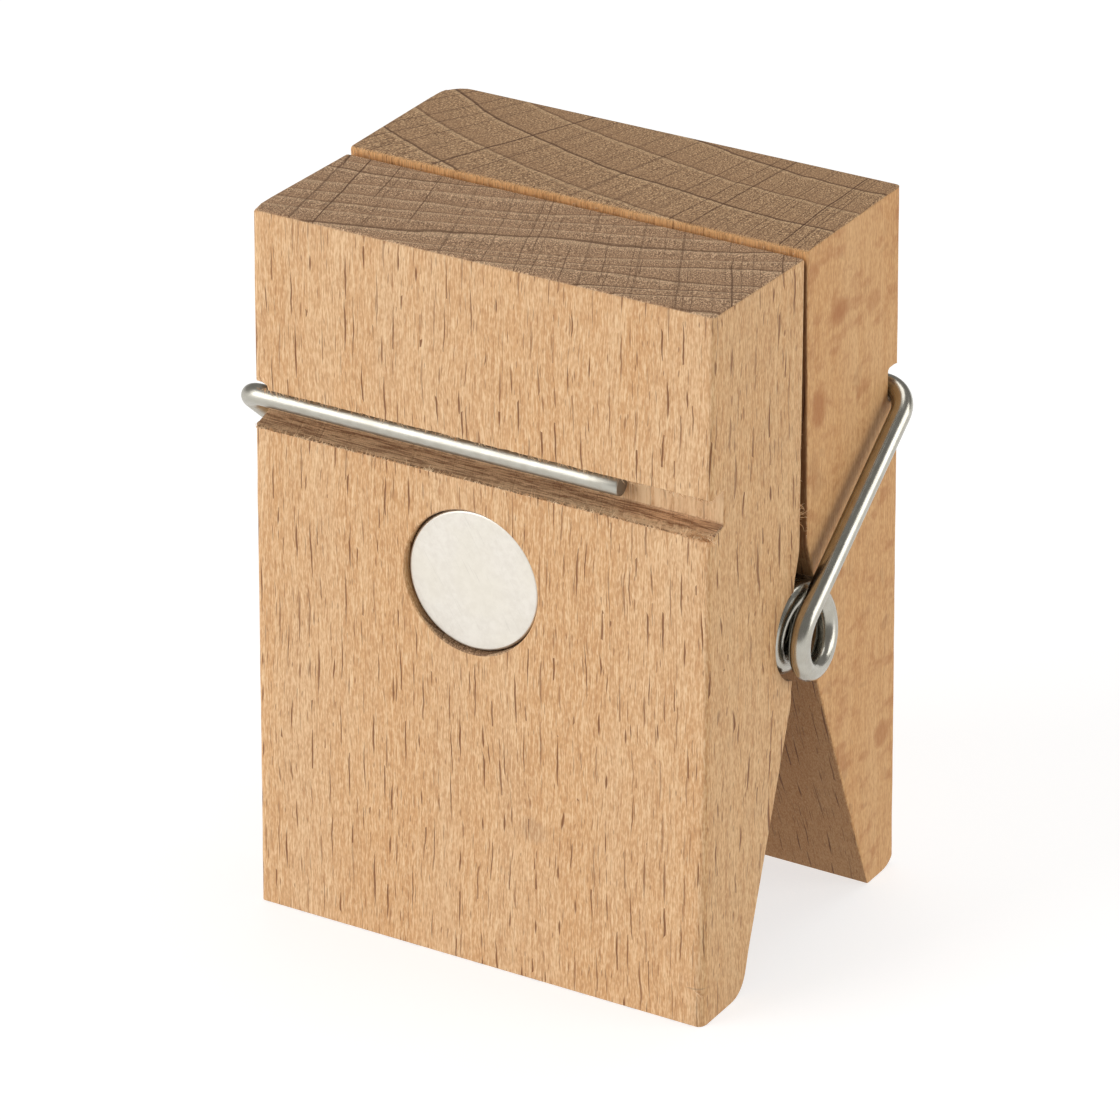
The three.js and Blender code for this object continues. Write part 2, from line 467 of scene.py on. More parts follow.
def jaw_rows(jaw):
    """Along X: which end a row belongs to (0 is the straight middle), and how far along it is."""
    rounds = EDGE_ROUND[jaw.node]
    largest = max(1.0, *(radius for pair in rounds.values() for radius in pair))
    inner = jaw.half - largest * 1.2 - 0.1
    middle = int(2 * inner / ROW_STEP)
    rows = [(-1, 1 - k / END_ROWS) for k in range(END_ROWS)]
    rows += [(0, -1 + 2 * k / middle) for k in range(middle + 1)]
    return inner, rows + [(1, (k + 1) / END_ROWS) for k in range(END_ROWS)]


def end_row(jaw, end, share, seed):
    """A row of an end's rounding: corners stay crisp, the outer upright edge is worn."""
    angle = share * math.pi / 2
    sink, still = 1 - math.cos(angle), 1 - math.sin(angle)
    at_top, at_foot = EDGE_ROUND[jaw.node][end]
    bitten = TOP_CORNER[jaw.node][end]

    def worn(z):
        uneven = 0.12 * bump(z / 4.0, end * 3.1, seed) + 0.04 * bump(z / 0.9, end * 3.1, seed)
        return (at_top + (at_foot - at_top) * blend_in(*FOOT_WEAR, z)) * (1 + uneven)

    spots, places = [], []
    for p, out in zip(jaw.outline, jaw.out):
        gap, inward = jaw.corner(p)
        radius = worn(p[1])
        near_face = 1 - blend_in(0.1, 1.2 * radius, jaw.depth(p))
        flat = END_ROUND * blend_in(0.2, 1.2, gap) * (0.3 + 0.7 * blend_in(2.0, 5.0, p[1]))
        size = CORNER_ROUND + flat + max(0.0, radius - CORNER_ROUND - flat) * near_face
        x = end * (jaw.half - size * still)
        inset = p - out * flat * sink * (1 - near_face)
        inset = inset + np.array(inward) * CORNER_ROUND * sink * blend_in(0.8, 0.1, gap)
        bite = bitten * blend_in(3 * bitten, 0.1, math.dist(p, jaw.top))
        inset = inset - np.array((jaw.side, 1.0)) * 0.7 * bite * sink
        fading = wear(jaw, inset, out, x, seed) * (1 - share)
        spots.append(inset + fading + np.array(inward) * chip(jaw, inset, x) * share)
        places.append(x)
    found = clipped(jaw, spots, lambda z: worn(z) * sink)
    return [(x, *spot) for x, spot in zip(places, found)]


def jaw_mesh(name, jaw, seed):
    """The jaw as a sweep of its outline along X, rounded where it runs out at the two ends."""
    inner, rows = jaw_rows(jaw)
    points, faces, count = [], [], len(jaw.outline)
    for end, share in rows:
        if end:
            points += end_row(jaw, end, share, seed)
            continue
        x = inner * share
        points += [(x, *(p + wear(jaw, p, out, x, seed))) for p, out in zip(jaw.outline, jaw.out)]
    for i in range(len(rows) - 1):
        for j in range(count):
            a, b = i * count + j, i * count + (j + 1) % count
            faces.append((a, b, b + count, a + count))
    last = (len(rows) - 1) * count
    faces += [tuple(reversed(range(count))), tuple(range(last, last + count))]
    thing = new_object(name, points, faces)
    tidy(thing)
    return thing


# ---------- magnet, pocket and glue

def magnet_place(jaw):
    """The middle of the magnet's front, its radius, its thickness and the lean of its axis."""
    lo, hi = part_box("disc_magnet")
    lean = math.atan(jaw.slope)
    radius = (hi.x - lo.x) / 2 / MM
    deep = (hi.y - lo.y) / MM
    thick = (deep - 2 * radius * math.sin(lean)) / math.cos(lean)
    middle = (lo + hi) / 2 / MM
    inward = Vector((0, math.cos(lean), -math.sin(lean)))
    return middle - inward * thick / 2, radius, thick, lean


def cut_pocket(thing, jaw):
    """The blind hole for the magnet, with its rim slightly broken."""
    front, radius, _, lean = magnet_place(jaw)
    recess = jaw.depth(np.array((front.y, front.z))) * math.cos(lean)
    hole, over = radius + POCKET_GAP, 2.0
    profile = [(0, -recess - over), (hole + POCKET_LIP, -recess - over),
               (hole + POCKET_LIP, -recess - 0.01), (hole, POCKET_LIP - recess),
               (hole, POCKET_DEPTH - recess), (0, POCKET_DEPTH - recess)]
    cutter = lathe("pocket_cutter", profile, front, -lean, steps=160)
    cut = thing.modifiers.new("pocket", "BOOLEAN")
    cut.operation, cut.solver, cut.object = "DIFFERENCE", "EXACT", cutter
    apply_modifiers(thing)
    bpy.data.objects.remove(cutter)


def magnet_mesh(jaw):
    front, radius, thick, lean = magnet_place(jaw)
    edge = [(radius - MAGNET_EDGE * (1 - math.sin(a)), MAGNET_EDGE * (1 - math.cos(a)))
            for a in (math.pi / 2 * k / 6 for k in range(7))]
    rings = [(radius * k / 4, 0.0) for k in range(4)]
    back = [(radius, thick - MAGNET_BACK_EDGE), (radius - MAGNET_BACK_EDGE, thick), (0, thick)]
    return lathe("magnet_disc", rings + edge + back, front, -lean, steps=128)


def glue_mesh(jaw):
    """A cup of resin: the bed behind the magnet, and an uneven bead that fills the gap round it."""
    front, radius, thick, lean = magnet_place(jaw)
    floor = POCKET_DEPTH - jaw.depth(np.array((front.y, front.z))) - 0.05
    inner, outer = radius - 0.02, radius + POCKET_GAP + 0.03

    def creep(angle, depth):
        if depth > GLUE_BEAD_DEPTH:
            return depth
        wave = 0.35 * bump(2.2 * math.cos(angle), 2.2 * math.sin(angle), 4.0)
        wave += 0.12 * bump(9 * math.cos(angle), 9 * math.sin(angle), 8.0)
        return depth + max(-0.35, wave)

    profile = [(0, thick + 0.02), (inner, thick + 0.02), (inner, GLUE_LEVEL),
               (inner + 0.06, GLUE_LEVEL + 0.09), (outer - 0.08, GLUE_LEVEL + 0.1),
               (outer, GLUE_LEVEL - 0.02), (outer, floor), (0, floor)]
    return lathe("magnet_glue_bed", profile, front, -lean, steps=180, wobble=creep)


# ---------- spring

def seat_of(node, side):
    """By the CAD: an arm's line in its groove (y, z), where it ends and where its bend stands."""
    lo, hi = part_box(node)
    lo, hi = lo / MM, hi / MM
    y = hi.y - WIRE / 2 if side > 0 else lo.y + WIRE / 2
    arm_x = hi.x - WIRE / 2 if side > 0 else -lo.x - WIRE / 2
    end = lo.x if side > 0 else hi.x
    return {"y": y, "z": hi.z - WIRE / 2, "end": end, "x": arm_x, "side": side}


def arm_slope(seat):
    """How steeply the straight arm climbs, tangent to the coil, to reach its seat."""
    run, rise = abs(seat["y"] - PIVOT.y), seat["z"] - PIVOT.z
    return math.atan2(rise, run) - math.asin(COIL_RADIUS / math.hypot(run, rise))


def arm_path(seat):
    """From the coil straight up to the bend, round it and along the groove to the cut end."""
    side, slope = seat["side"], arm_slope(seat)
    climb = Vector((0, side * math.cos(slope), math.sin(slope)))
    inward = Vector((-side, 0, 0))
    corner = Vector((side * seat["x"], seat["y"], seat["z"]))
    start = Vector((side * seat["x"], PIVOT.y - side * COIL_RADIUS * math.sin(slope),
                    PIVOT.z + COIL_RADIUS * math.cos(slope)))
    radius = ARM_BEND[side]
    bend = [corner - climb * radius * (1 - math.sin(a)) + inward * radius * (1 - math.cos(a))
            for a in (math.pi / 2 * k / 20 for k in range(21))]
    end = Vector((seat["end"], seat["y"], seat["z"]))
    rise = [start.lerp(bend[0], k / 8) for k in range(8)]
    reach = [bend[-1].lerp(end, k / 12) for k in range(1, 13)]
    return rise + bend + reach


def arm_mesh(name, seat):
    """An arm with its cut end, whose edge is slightly broken."""
    path = arm_path(seat)
    last = path[-1]
    way = (last - path[-2]).normalized()
    path = path[:-1] + [last - way * 0.12, last - way * 0.03, last]
    radii = [WIRE / 2] * (len(path) - 2) + [WIRE / 2 - 0.04, WIRE / 2 - 0.13]
    return new_object(name, *tube(path, radii, WIRE_SIDES))


def coil_drift(turn, last, length):
    """How far along X the wire has come: level at both ends, where it runs on into the arms."""
    pitch = (length - 2 * END_SPREAD) / last
    first = pitch + END_SPREAD

    def eased(t):
        return (4 * first - pitch) * t ** 3 + (pitch - 3 * first) * t ** 4

    if turn < 1:
        return eased(turn)
    if turn > last - 1:
        return length - eased(last - turn)
    return END_SPREAD + pitch * turn


def coil_mesh(name, front_seat, back_seat):
    """The left-handed coil, from the back arm at the right to the front arm at the left."""
    start = math.pi / 2 + arm_slope(back_seat)
    total = COIL_TURNS * 2 * math.pi + math.pi / 2 - arm_slope(front_seat) - start
    steps = COIL_TURNS * STEPS_A_TURN
    arm_x = back_seat["x"]
    path = []
    for i in [0, 0.02] + list(range(1, steps)) + [steps - 0.02, steps]:
        a = total * i / steps
        x = arm_x - coil_drift(a / (2 * math.pi), total / (2 * math.pi), 2 * arm_x)
        path.append((x, PIVOT.y + COIL_RADIUS * math.cos(start + a),
                     PIVOT.z + COIL_RADIUS * math.sin(start + a)))
    return new_object(name, *tube(path, [WIRE / 2] * len(path), WIRE_SIDES))


# ---------- torn fibres

def kept_in(point):
    """Moved back inside the CAD model's box, if it strayed out."""
    return Vector([min(max(c, low / MM + 0.04), high / MM - 0.04)
                   for c, low, high in zip(point, *CAD_BOX)])


def fibres(name, tufts, seed):
    """Fine torn fibres. Each tuft is (root, lean, count, spread along x, length, spread of root)."""
    rng = random.Random(seed)
    points, faces = [], []
    for root, lean, count, spread, length, scatter in tufts:
        for _ in range(count):
            foot = Vector(root) + Vector((rng.uniform(-spread, spread), 0, 0))
            foot += Vector([rng.uniform(-s, s) for s in scatter])
            way = (Vector(lean).normalized()
                   + 0.55 * Vector([rng.uniform(-1, 1) for _ in range(3)])).normalized()
            curl = 1.1 * Vector([rng.uniform(-1, 1) for _ in range(3)])
            run, thick = length * rng.uniform(0.35, 1.0), rng.uniform(0.018, 0.034)
            foot -= way * 0.08
            path = [kept_in(foot + (way + curl * t * t * 0.6) * run * t)
                    for t in (0, 0.25, 0.5, 0.75, 1.0)]
            radii = [share * thick for share in (1, 1, 0.85, 0.65, 0.3)]
            made, quads, _ = tube(path, radii, 4)
            faces += [tuple(len(points) + i for i in face) for face in quads]
            points += made
    return new_object(name, points, faces)


def lip_tufts(jaw, density, lean_up, seed):
    """Short fibres all along a jaw's groove lips, thicker where the cut has torn."""
    rng = random.Random(seed)
    tufts = []
    low, high = jaw.lips
    for lip, share in ((low, 1.0), (high, 0.35)):
        for _ in range(int(density * share)):
            x = rng.uniform(-jaw.half + 0.4, jaw.half - 0.6)
            up = lean_up if lip is low else -0.4
            root = (x, lip[0] - 0.02 * jaw.side, lip[1])
            tufts.append((root, (0.3, 0.35 * jaw.side, up), 1 + int(2 * rng.random() ** 3),
                          0.2, 0.5, (0.05, 0.02, 0.05)))
    return tufts


# ---------- materials

class Nodes:
    """Short ways to write a material's nodes."""

    def __init__(self, name):
        self.material = bpy.data.materials.new(name)
        self.material.use_nodes = True
        self.tree = self.material.node_tree
        self.tree.nodes.clear()

    def make(self, kind, inputs=(), **settings):
        node = self.tree.nodes.new(kind)
        for key, value in settings.items():
            setattr(node, key, value)
        for key, value in dict(inputs).items():
            if isinstance(value, bpy.types.NodeSocket):
                self.tree.links.new(value, node.inputs[key])
            else:
                node.inputs[key].default_value = value
        return node

    def math(self, operation, *values):
        return self.make("ShaderNodeMath", enumerate(values), operation=operation).outputs[0]

    def add(self, a, b):
        return self.math("ADD", a, b)

    def minus(self, a, b):
        return self.math("SUBTRACT", a, b)

    def times(self, a, b):
        return self.math("MULTIPLY", a, b)

    def xyz(self, x, y, z):
        return self.make("ShaderNodeCombineXYZ", enumerate((x, y, z))).outputs[0]

    def split(self, vector):
        return self.make("ShaderNodeSeparateXYZ", {0: vector}).outputs

    def vector(self, operation, *values):
        return self.make("ShaderNodeVectorMath", enumerate(values), operation=operation).outputs[0]

    def step(self, value, low, high, to_low=0.0, to_high=1.0):
        """A smooth step of value, from low to high."""
        inputs = enumerate((value, low, high, to_low, to_high))
        return self.make("ShaderNodeMapRange", inputs, interpolation_type="SMOOTHSTEP").outputs[0]

    def noise(self, vector, detail=2.0, rough=0.5):
        inputs = {"Vector": vector, "Scale": 1.0, "Detail": detail, "Roughness": rough}
        return self.make("ShaderNodeTexNoise", inputs).outputs[0]

    def stretched(self, parts, sizes):
        """A vector of the parts, each over the size that one unit of the noise should take."""
        return self.xyz(*[self.times(p, 1.0 / s) for p, s in zip(parts, sizes)])

    def mix(self, share, a, b, blend="MIX"):
        inputs = {0: share, 6: a, 7: b}
        node = self.make("ShaderNodeMix", inputs, data_type="RGBA", blend_type=blend)
        return node.outputs[2]

    def place(self):
        """The object's own x, y and z, in millimetres."""
        spot = self.make("ShaderNodeTexCoord").outputs["Object"]
        return [self.times(part, 1 / MM) for part in self.split(spot)]

    def relief(self, height, distance, strength):
        """Normals of a surface that rises by up to distance, in millimetres."""
        inputs = {"Height": height, "Distance": distance * MM, "Strength": strength}
        return self.make("ShaderNodeBump", inputs).outputs[0]

    def finish(self, look):
        """The material, with one principled surface that has these inputs."""
        surface = self.make("ShaderNodeBsdfPrincipled", look).outputs[0]
        self.make("ShaderNodeOutputMaterial", {"Surface": surface})
        return self.material


def colour(red, green, blue):
    """An sRGB colour, 0 to 255, as linear RGBA."""
    def linear(value):
        value /= 255
        return value / 12.92 if value <= 0.04045 else ((value + 0.055) / 1.055) ** 2.4
    return (linear(red), linear(green), linear(blue), 1.0)


def rays(n, grain, spacing, half_width, half_length):
    """Wood rays, each a thin sheet: how much of one shows at a place, and its own random number."""
    cell = n.stretched(grain, spacing)
    found = n.make("ShaderNodeTexVoronoi", {"Vector": cell, "Scale": 1.0, "Randomness": 1.0})
    off = n.split(n.vector("SUBTRACT", cell, found.outputs["Position"]))
    luck = n.split(found.outputs["Color"])
    wide = n.step(luck[0], 0.0, 1.0, 0.55 * half_width, 1.25 * half_width)
    long = n.step(luck[1], 0.0, 1.0, 0.3 * half_length, 1.2 * half_length)
    across = n.math("DIVIDE", n.math("ABSOLUTE", n.times(off[0], spacing[0])), wide)
    up = n.math("DIVIDE", n.times(off[2], spacing[2]), long)
    shape = n.add(across, n.times(up, up))
    return n.step(shape, 1.0, 0.3), luck[2]


def spot_share(n, place, wander, spot, size):
    """How much of an oval stain with a wandering edge shows at a place."""
    away = n.vector("DIVIDE", n.vector("SUBTRACT", place, spot), size)
    length = n.make("ShaderNodeVectorMath", {0: away}, operation="LENGTH").outputs["Value"]
    return n.step(n.add(length, n.times(n.minus(wander, 0.5), 1.6)), 1.25, 0.45)


def groove_share(n, jaw, y, height, side_on):
    """Whether a place lies in the wall or floor of the jaw's groove, and how deep in."""
    low, high = jaw.lips[0][1], jaw.lips[1][1]
    face = n.add(n.times(height, jaw.slope), jaw.face_at_foot)
    depth = n.times(n.minus(face, y), jaw.side)
    inside = n.times(n.step(depth, 0.1, 0.35), n.step(depth, 5.0, 4.6))
    inside = n.times(inside, n.step(height, low - 1.4, low - 1.2))
    inside = n.times(inside, n.step(height, high + 0.4, high + 0.2))
    return n.times(inside, n.step(side_on, 0.5, 0.3)), depth


def grain_of(n, board, x, y, height):
    """Grain coordinates: t round the pith, r out from it, z along the trunk, all swaying a little."""
    z = n.add(height, TRUNK_STEP * board["seed"])
    pith_x, pith_y = board["pith"]
    dx, dy = n.minus(x, pith_x), n.minus(y, pith_y)
    r = n.math("SQRT", n.add(n.times(dx, dx), n.times(dy, dy)))
    t = n.times(n.math("ARCTAN2", dx, n.times(dy, -1.0)), math.hypot(pith_x, pith_y))
    sway = n.noise(n.stretched((t, r, z), (14.0, 30.0, 22.0)))
    twist = n.noise(n.stretched((t, r, z), (1.6, 4.0, 3.0)))
    t = n.add(t, n.times(n.minus(sway, 0.5), 1.6))
    t = n.add(t, n.times(n.minus(twist, 0.5), 0.35))
    return t, r, z


def growth_rings(n, board, grain):
    """Each ring darkens outward to a thin dark line, and the next one starts pale."""
    wander = n.noise(n.stretched(grain, (30.0, 2.6 * board["ring"], 90.0)), detail=1.0)
    ripple = n.noise(n.stretched(grain, (3.2, 9.0, 60.0)), detail=1.0)
    ring = n.add(n.times(grain[1], 1 / board["ring"]), n.times(wander, board["uneven"]))
    ring = n.add(ring, n.times(ripple, 0.55 / board["ring"]))
    share = n.math("FRACT", ring)
    own = n.make("ShaderNodeTexWhiteNoise", {"W": n.math("FLOOR", ring)}, noise_dimensions="1D")
    strong = n.step(own.outputs["Value"], 0.0, 1.0, 0.25, 1.0)
    late = n.step(share, 0.35, 0.97)
    thin = 0.22 / board["ring"]
    line = n.times(n.step(share, 1 - 2 * thin, 1 - thin), n.step(share, 1.0, 1 - 0.2 * thin))
    return late, n.times(line, strong), n.times(n.step(share, 3.5 * thin, 0.6 * thin), 0.8)


def long_grain(n, board, tones, grain, late, side_on):
    """The wood along its fibres, with the fine and the coarse noise, which others use too."""
    fine = n.noise(n.stretched(grain, (0.1, 0.1, 2.3)), detail=2.0, rough=0.6)
    coarse = n.noise(n.stretched(grain, (0.36, 0.6, 15.0)), detail=2.0)
    pores = n.noise(n.stretched(grain, (0.15, 0.2, 0.6)), detail=1.0)
    broad = n.noise(n.stretched(grain, (6.0, 9.0, 45.0)), detail=2.0)
    body = n.mix(n.step(broad, 0.32, 0.68), tones["pale"], tones["warm"])
    body = n.mix(n.times(late, 0.45), body, tones["late"])
    calm = n.step(side_on, 0.6, 0.95, 1.0, board["calm_sides"])
    for grain_noise, reach, lighter, darker in (
            (coarse, 0.22, 0.35, 0.4), (fine, 0.18, 0.78, 0.56), (pores, 0.16, 0.38, 0.38)):
        over = n.step(grain_noise, 0.5, 0.5 + reach, 0.0, lighter)
        under = n.step(grain_noise, 0.49, 0.49 - reach, 0.0, darker)
        body = n.mix(n.times(over, calm), body, tones["light"])
        body = n.mix(n.times(under, calm), body, tones["streak"])
    return body, fine, coarse


def cross_cut(n, board, tones, grain, rings):
    """The wood across its fibres, rough and darker, with the rays as lines right across."""
    late, line, start_pale = rings
    grit = n.noise(n.stretched(grain, (0.12, 0.26, 0.3)), detail=3.0, rough=0.75)
    wide_rays, wide_luck = rays(n, grain, (board["ray"], 300.0, 900.0), 0.16, 2000.0)
    thin_rays, thin_luck = rays(n, grain, (0.27 * board["ray"], 14.0, 900.0), 0.07, 2000.0)
    cut = n.mix(n.step(grit, 0.4, 0.58), tones["end_dark"], tones["end"])
    cut = n.mix(n.step(grit, 0.54, 0.66, 0.0, 0.95), cut, tones["end_light"])
    cut = n.mix(n.times(late, 0.38), cut, tones["end_late"])
    cut = n.mix(n.times(start_pale, 0.32), cut, tones["end_light"])
    cut = n.mix(n.times(line, 0.75), cut, tones["end_line"])
    crossing = n.math("MAXIMUM", n.times(wide_rays, n.step(wide_luck, 0.0, 1.0, 0.35, 0.95)),
                      n.times(thin_rays, n.step(thin_luck, 0.0, 1.0, 0.1, 0.75)))
    rough = n.add(n.times(grit, 1.5), n.times(crossing, -0.7))
    return n.mix(crossing, cut, tones["end_line"]), rough


def fleck_share(n, board, grain, side_on, end_grain):
    """The rays' dark flecks, where the long faces cut across them."""
    large, luck = rays(n, grain, (1.9, 60.0, 6.2), 0.115, 3.2)
    small, small_luck = rays(n, grain, (0.6, 40.0, 2.8), 0.07, 1.2)
    large = n.times(large, n.step(luck, 0.0, 0.6, 0.5, 1.0))
    small = n.times(small, n.step(small_luck, 0.1, 1.0, 0.05, 0.8))
    plain = n.step(side_on, 0.3, 0.95, 1.0, board["side_flecks"])
    flecks = n.times(n.math("MAXIMUM", large, n.times(small, 0.8)), plain)
    return n.times(flecks, n.step(end_grain, 0.0, 0.6, 0.9, 0.0))


def stained(n, board, tones, base, grain, spot, side_on, blotches):
    """Soft figure where the rays lie in the sides, and the stains that this jaw has."""
    cloud = n.noise(n.stretched(grain, (9.0, 3.6, 2.2)), detail=3.0, rough=0.55)
    figure = n.times(n.step(cloud, 0.5, 0.72, 0.0, board["figure"]), n.step(side_on, 0.6, 0.95))
    base = n.mix(figure, base, tones["blotch"])
    for middle, size, strength in blotches:
        patch = spot_share(n, spot, cloud, middle, size)
        base = n.mix(n.times(patch, strength), base, tones["blotch"])
    return base


def sawn_groove(n, tones, jaw, base, spot, coarse, end_grain, side_on):
    """The groove's walls are streaked along it and frayed to the right; its floor is painted lighter,
    as painted light against the groove's shade.
    """
    x, y, height = spot
    groove, deep = groove_share(n, jaw, y, height, side_on)
    walls = n.times(groove, end_grain)
    kerf = n.noise(n.stretched((x, y, height), (3.0, 0.17, 0.17)), detail=3.0, rough=0.6)
    sawn = n.mix(n.step(kerf, 0.37, 0.62), tones["sawn_dark"], tones["sawn"])
    base = n.mix(n.times(walls, 0.82), base, sawn)
    frayed = n.step(n.add(deep, n.times(n.minus(coarse, 0.5), 2.4)), 1.3, 0.5)
    frayed = n.times(n.times(walls, frayed), n.step(x, 2.0, 24.0, 0.1, 0.85))
    base = n.mix(frayed, base, tones["light"])
    # Painted light: the groove's floor is brightened towards the light tone.
    floor_painted_light = n.times(n.minus(groove, walls), n.step(coarse, 0.35, 0.65, 0.15, 0.9))
    return n.mix(floor_painted_light, base, tones["light"])


def shade_painted_inside(n, board, tones, base, facing_y, height, fine):
    """Painted shade on the inner faces, which lie out of the light, deepening where the jaws pinch
    together; the tip's inner face is left out of it and streaked with a paler tone.
    """
    inward = n.times(facing_y, board["inward"])
    inner = n.times(n.step(inward, 0.6, 0.95), n.step(height, *TIP_SHADE))
    # Painted shade: the inner faces are multiplied darker.
    base = n.mix(n.times(inner, 0.7), base, tones["inner"], "MULTIPLY")
    tip = n.times(n.step(inward, 0.3, 0.8), n.step(height, *TIP_LIGHT))
    base = n.mix(n.times(tip, n.step(fine, 0.4, 0.6, 0.0, 0.8)), base, tones["tip"])
    # Painted shade, deeper where the jaws pinch together.
    pinched_shade = n.times(inner, n.step(height, *PINCHED))
    return n.mix(pinched_shade, base, tones["pinched_shade"], "MULTIPLY")


def beech(name, board, tones, jaw, blotches=()):
    """Beech as one solid: rings round the pith, rays towards it and fibres along Z."""
    n = Nodes(name)
    tones = {key: colour(*rgb) for key, rgb in tones.items()}
    x, y, height = n.place()
    facing = n.split(n.make("ShaderNodeTexCoord").outputs["Normal"])
    end_grain = n.step(n.math("ABSOLUTE", facing[2]), 0.42, 0.8)
    side_on = n.math("ABSOLUTE", facing[0])

    grain = grain_of(n, board, x, y, height)
    rings = growth_rings(n, board, grain)
    body, fine, coarse = long_grain(n, board, tones, grain, rings[0], side_on)
    cut, rough = cross_cut(n, board, tones, grain, rings)
    flecks = fleck_share(n, board, grain, side_on, end_grain)

    base = n.mix(end_grain, body, cut)
    base = n.mix(flecks, base, tones["ray"])
    base = stained(n, board, tones, base, grain, n.xyz(x, y, height), side_on, blotches)
    base = sawn_groove(n, tones, jaw, base, (x, y, height), coarse, end_grain, side_on)
    # Painted shade: faces that look along X are multiplied by the side tone, a little darker and
    # warmer.
    base = n.mix(n.step(side_on, 0.4, 0.9), base, tones["side"], "MULTIPLY")
    base = shade_painted_inside(n, board, tones, base, facing[1], height, fine)

    # Relief: flecks and vessels are hollow, end grain is rough from the saw.
    hollow = n.add(n.times(fine, 0.6), n.times(end_grain, rough))
    return n.finish({
        "Base Color": base,
        "Roughness": n.step(fine, 0.2, 0.8, 0.58, 0.72),
        "Specular IOR Level": 0.35,
        "Normal": n.relief(n.add(n.times(flecks, -0.9), hollow), 0.06, 0.85)})


# The tones of each jaw's wood, as sRGB from 0 to 255.
# The inner and pinched tones are painted shade, multiplied over the inner faces.
SHARED_TONES = {
    "inner": (168, 159, 149), "tip": (240, 186, 124), "pinched_shade": (222, 208, 194),
    "sawn": (226, 184, 142), "sawn_dark": (138, 96, 66),
}
# In both tables the side tone is painted shade, multiplied over the faces that look along X.
FRONT_TONES = {
    "pale": (216, 174, 130), "warm": (211, 162, 112), "late": (208, 158, 108),
    "streak": (184, 135, 90), "light": (240, 206, 163), "ray": (120, 72, 36),
    "end": (202, 162, 125), "end_dark": (126, 95, 69), "end_light": (250, 216, 176),
    "end_late": (172, 132, 98), "end_line": (100, 70, 47), "blotch": (152, 122, 98),
    "side": (247, 243, 232), **SHARED_TONES,
}
BACK_TONES = {
    "pale": (210, 164, 114), "warm": (204, 152, 98), "late": (199, 146, 92),
    "streak": (182, 130, 80), "light": (228, 188, 138), "ray": (126, 78, 41),
    "end": (204, 162, 120), "end_dark": (126, 95, 67), "end_light": (250, 214, 168),
    "end_late": (170, 130, 94), "end_line": (88, 58, 37), "blotch": (168, 106, 56),
    "side": (253, 251, 245), **SHARED_TONES,
}


def steel(name):
    """Plated wire, drawn along its length: the front arm is rubbed satin, sheared ends are dull."""
    n = Nodes(name)
    rubbed = n.times(n.step(n.place()[1], -9.0, -15.0), 0.14)
    along = n.split(n.make("ShaderNodeUVMap", uv_map="along").outputs[0])
    sheared = n.step(along[1], 1.2, 1.8)
    drawn = n.noise(n.stretched(along, (7.0, 0.03, 1.0)), detail=3.0)
    dents = n.noise(n.stretched(along, (1.3, 0.2, 1.0)), detail=2.0)
    height = n.add(n.times(drawn, 0.6), n.times(dents, 0.6))
    tone = n.mix(n.step(dents, 0.3, 0.7), colour(184, 181, 171), colour(174, 170, 159))
    return n.finish({
        "Base Color": n.mix(sheared, tone, colour(158, 152, 142)),
        "Metallic": 1.0,
        "Roughness": n.add(n.add(n.step(drawn, 0.3, 0.7, 0.2, 0.29), rubbed), n.times(sheared, 0.3)),
        "Normal": n.relief(height, 0.01, 0.5)})


def nickel(name):
    """Tumbled nickel plate: satin, faintly mottled, with a few fine scratches."""
    n = Nodes(name)
    x, y, z = n.place()
    mottle = n.noise(n.stretched((x, y, z), (0.8, 0.8, 0.8)), detail=4.0, rough=0.65)
    cloud = n.noise(n.stretched((x, y, z), (5.0, 5.0, 5.0)), detail=2.0)
    lines = n.noise(n.stretched((n.add(x, n.times(z, 0.6)), y, n.add(z, n.times(x, -0.2))),
                                (0.07, 1.0, 3.0)), detail=1.0)
    scratch = n.step(lines, 0.69, 0.75)
    tone = n.mix(n.step(mottle, 0.3, 0.7), colour(219, 213, 203), colour(228, 223, 214))
    tone = n.mix(n.step(cloud, 0.4, 0.7, 0.0, 0.4), tone, colour(224, 218, 204))
    tone = n.mix(n.times(scratch, 0.35), tone, colour(190, 184, 174))
    height = n.add(n.times(mottle, 0.5), n.times(scratch, -0.5))
    return n.finish({
        "Base Color": tone,
        "Metallic": 1.0,
        "Roughness": n.step(mottle, 0.25, 0.75, 0.42, 0.5),
        "Normal": n.relief(height, 0.01, 0.35)})


def resin(name):
    """Set glue: amber, glossy, with pale specks of dust and painted glints where tiny bubbles catch
    the light.
    """
    n = Nodes(name)
    x, y, z = n.place()
    grit = n.noise(n.stretched((x, y, z), (0.12, 0.12, 0.12)), detail=2.0)
    dust_and_glints = n.step(grit, 0.66, 0.72)
    # Pale specks in the colour: dust, and painted glints of bubbles.
    tone = n.mix(dust_and_glints, colour(96, 66, 34), colour(236, 214, 160))
    return n.finish({
        "Base Color": tone,
        "Roughness": n.step(grit, 0.3, 0.7, 0.1, 0.4),
        "Specular IOR Level": 0.6,
        "Coat Weight": 0.5,
        "Normal": n.relief(grit, 0.06, 0.8)})


# ---------- the object

def dress(thing, material, body, slot, *nodes):
    """Gives a piece its look and tells the frame its body and the nodes it replaces."""
    thing.data.materials.clear()
    thing.data.materials.append(material)
    if body:
        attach(thing, body)
    if nodes:
        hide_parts(*nodes)


